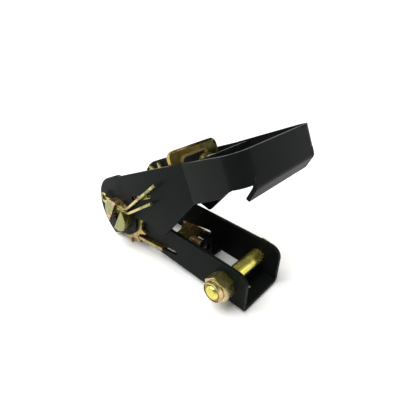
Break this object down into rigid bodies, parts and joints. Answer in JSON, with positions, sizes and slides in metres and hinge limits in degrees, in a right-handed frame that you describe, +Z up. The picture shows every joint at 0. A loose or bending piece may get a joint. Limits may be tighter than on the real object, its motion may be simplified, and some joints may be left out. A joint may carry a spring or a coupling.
{
  "type": "ratchet strap buckle",
  "caption": "Ratchet buckle for narrow webbing: folded base with strap bolt, swinging handle, split spool with toothed wheels, and sprung pawls.",
  "frame": {"origin": "on the underside of the base's front floor, straight below the strap bolt, at mid-width", "axes": "+X from the spool toward the bolt end, +Y across the webbing with the nut on the -Y side, +Z up"},
  "size_m": [0.124, 0.0546, 0.0935],
  "materials": {
    "black_coat": "satin black electrocoat",
    "yellow_zinc": "yellow passivated zinc plate on steel",
    "spring_steel": "coppery drawn wire",
    "nylon": "amber nylon"
  },
  "bodies": {
    "base": {"base_frame": "black_coat", "strap_bolt": "yellow_zinc", "strap_bolt_nut": "yellow_zinc", "nut_nylon_insert": "nylon", "lock_spring": "spring_steel"},
    "spool": {"spool_half_upper": "yellow_zinc", "spool_half_lower": "yellow_zinc", "ratchet_wheel_near": "yellow_zinc", "ratchet_wheel_far": "yellow_zinc", "cotter_pin_near": "yellow_zinc", "cotter_pin_far": "yellow_zinc"},
    "handle": {"handle": "black_coat", "handle_bridge": "black_coat", "release_spring": "spring_steel"},
    "lock_pawl": {"lock_pawl": "yellow_zinc"},
    "release_pawl": {"release_pawl": "yellow_zinc"}
  },
  "joints": [
    {"name": "handle_swing", "type": "hinge", "parent": "base", "child": "handle", "pos_m": [-0.084, 0, 0.017], "axis": [0, -1, 0], "range_deg": [-25, 155]},
    {"name": "spool_turn", "type": "hinge", "parent": "base", "child": "spool", "pos_m": [-0.084, 0, 0.017], "axis": [0, -1, 0], "continuous": true},
    {"name": "lock_pawl_slide", "type": "slide", "parent": "base", "child": "lock_pawl", "axis": [0.9877, 0, 0.1564], "range_m": [0, 0.006], "stiffness_N_per_m": 800, "springref_m": -0.003, "deforming": ["lock_spring"]},
    {"name": "release_pawl_slide", "type": "slide", "parent": "handle", "child": "release_pawl", "axis": [0.9048, 0, 0.4258], "range_m": [-0.005, 0.003], "stiffness_N_per_m": 900, "deforming": ["release_spring"]}
  ]
}
